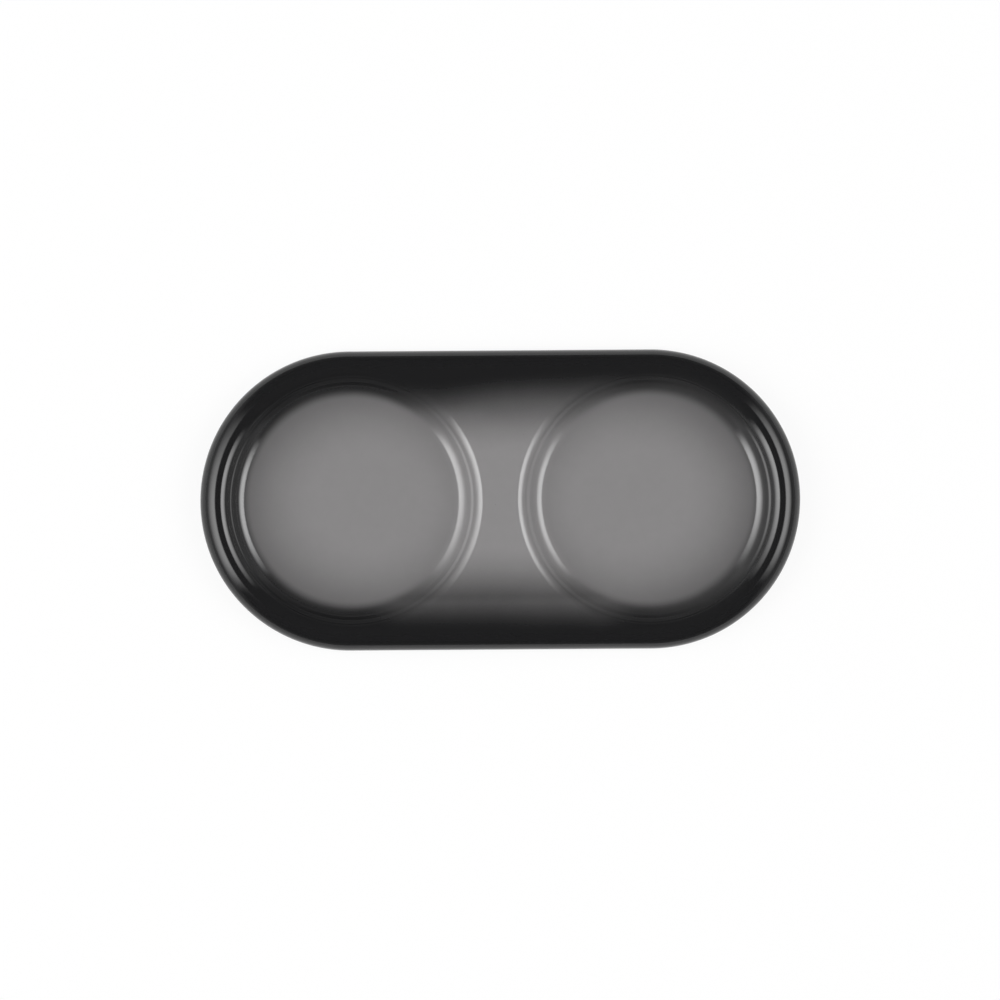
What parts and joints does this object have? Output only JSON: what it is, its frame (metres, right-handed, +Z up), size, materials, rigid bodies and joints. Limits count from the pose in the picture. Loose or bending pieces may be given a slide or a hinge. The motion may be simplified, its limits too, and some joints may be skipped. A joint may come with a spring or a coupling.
{
  "type": "mill tray",
  "caption": "Oblong glazed stoneware tray with round wells that hold the feet of salt and pepper mills, a rounded dark rim fading to a grey middle, and a bare foot ring.",
  "frame": {"origin": "on the surface that the tray stands on, under the middle of the tray", "axes": "+X along the tray from the left well to the right well, +Y across it to the back, +Z up out of the wells"},
  "size_m": [0.1806, 0.09, 0.013],
  "materials": {
    "bare_stoneware": "matt unglazed clay",
    "light_grey_glaze": "glossy, darkening towards the rim",
    "dark_grey_glaze": "glossy"
  },
  "bodies": {
    "root": {"stoneware_body": "bare_stoneware", "inner_glaze": "light_grey_glaze", "rim_glaze": "dark_grey_glaze", "underside_glaze": "dark_grey_glaze"}
  },
  "joints": []
}
